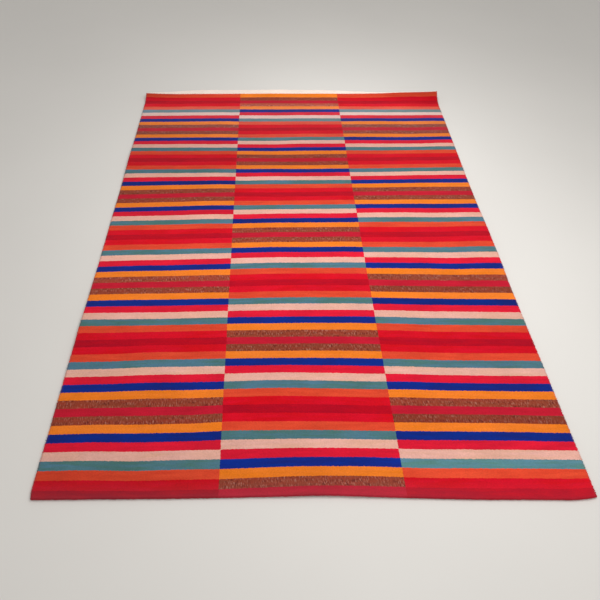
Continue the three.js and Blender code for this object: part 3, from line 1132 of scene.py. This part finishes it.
class RUG_OT_edge(bpy.types.Operator):
    """Make the tufts at the pile's edges"""

    bl_idname = "rug.edge"
    bl_label = "Edge tufts"

    def execute(self, context):
        sizes = context.scene.rug_sizes
        piece = edge_tufts("edge_tufts", sizes, Lie(sizes))
        piece.data.materials.clear()
        piece.data.materials.append(bpy.data.materials["cut_wool_pile"])
        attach(piece, BODY)
        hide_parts(SOLID)
        return {"FINISHED"}


FLOOR = {"half": 400.0, "cells": 4, "below": 0.3 * MM}
SKY_COLOUR = (1.0, 0.985, 0.965, 1.0)
KEY = {"place": (0.5, -0.4, 1.8), "size": 1.4, "aim": (0.25, -0.2, 0.0)}
FILL = {"place": (0.5, -3.5, 1.8), "size": 1.6, "aim": (0.0, 0.4, 0.0)}
RIM = {"place": (0.3, 0.8, 1.1), "size": 0.6, "aim": (0.0, 1.25, 0.0)}


def soft_light(name, setting, watts):
    """A square soft light that faces a point."""
    data = bpy.data.lights.new(name, "AREA")
    data.energy = watts
    data.size = setting["size"]
    light = bpy.data.objects.new(name, data)
    light.location = setting["place"]
    away = Vector(setting["aim"]) - Vector(setting["place"])
    light.rotation_euler = away.to_track_quat("-Z", "Y").to_euler()
    light.visible_camera = False
    bpy.context.scene.collection.objects.link(light)


class RUG_OT_stage(bpy.types.Operator):
    """Make the floor, the lights and the camera"""

    bl_idname = "rug.stage"
    bl_label = "Stage"

    def execute(self, context):
        scene = context.scene
        stage = scene.rug_stage
        bm = bmesh.new()
        cells = FLOOR["cells"]
        bmesh.ops.create_grid(bm, x_segments=cells, y_segments=cells, size=FLOOR["half"])
        bmesh.ops.translate(bm, verts=bm.verts, vec=(0, 0, CAD_BOX[0][2] - FLOOR["below"]))
        floor = new_piece("floor", bm)
        floor.data.materials.append(floor_material(tuple(stage.floor)))
        soft_light("key_light", KEY, stage.key)
        soft_light("fill_light", FILL, stage.fill)
        soft_light("rim_light", RIM, stage.rim)
        world = bpy.data.worlds.new("soft_sky")
        world.use_nodes = True
        sky = world.node_tree.nodes["Background"].inputs
        sky["Strength"].default_value = stage.sky
        sky["Color"].default_value = SKY_COLOUR
        scene.world = world
        camera = bpy.data.objects.new("camera", bpy.data.cameras.new("camera"))
        camera.data.lens = stage.lens
        camera.data.shift_y = stage.shift
        camera.location = Vector(stage.place) - Vector(Lie(scene.rug_sizes).middle)
        camera.rotation_euler = stage.turn
        scene.collection.objects.link(camera)
        scene.camera = camera
        scene.view_settings.view_transform = "Standard"
        return {"FINISHED"}


class RUG_PT_panel(bpy.types.Panel):
    """The rug's settings and the steps that make it"""

    bl_label = "Knotted rug"
    bl_idname = "RUG_PT_panel"
    bl_space_type = "VIEW_3D"
    bl_region_type = "UI"
    bl_category = "Rug"

    def draw(self, context):
        layout = self.layout
        for group in (context.scene.rug_sizes, context.scene.rug_dyes, context.scene.rug_stage):
            box = layout.box()
            for name in group.bl_rna.properties.keys():
                if name not in ("rna_type", "name"):
                    box.prop(group, name)
        for operator in OPERATORS:
            layout.operator(operator.bl_idname)


OPERATORS = (RUG_OT_stage, RUG_OT_foundation, RUG_OT_pile, RUG_OT_edge)
GROUPS = {"rug_sizes": RugSizes, "rug_dyes": RugDyes, "rug_stage": RugStage}
CLASSES = (*GROUPS.values(), *OPERATORS, RUG_PT_panel)


def register():
    for cls in CLASSES:
        bpy.utils.register_class(cls)
    for name, group in GROUPS.items():
        setattr(bpy.types.Scene, name, PointerProperty(type=group))


def unregister():
    for name in GROUPS:
        delattr(bpy.types.Scene, name)
    for cls in reversed(CLASSES):
        bpy.utils.unregister_class(cls)


def main():
    register()
    bpy.ops.rug.stage()
    bpy.ops.rug.foundation()
    bpy.ops.rug.pile()
    bpy.ops.rug.edge()
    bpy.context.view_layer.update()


if __name__ == "__main__":
    main()
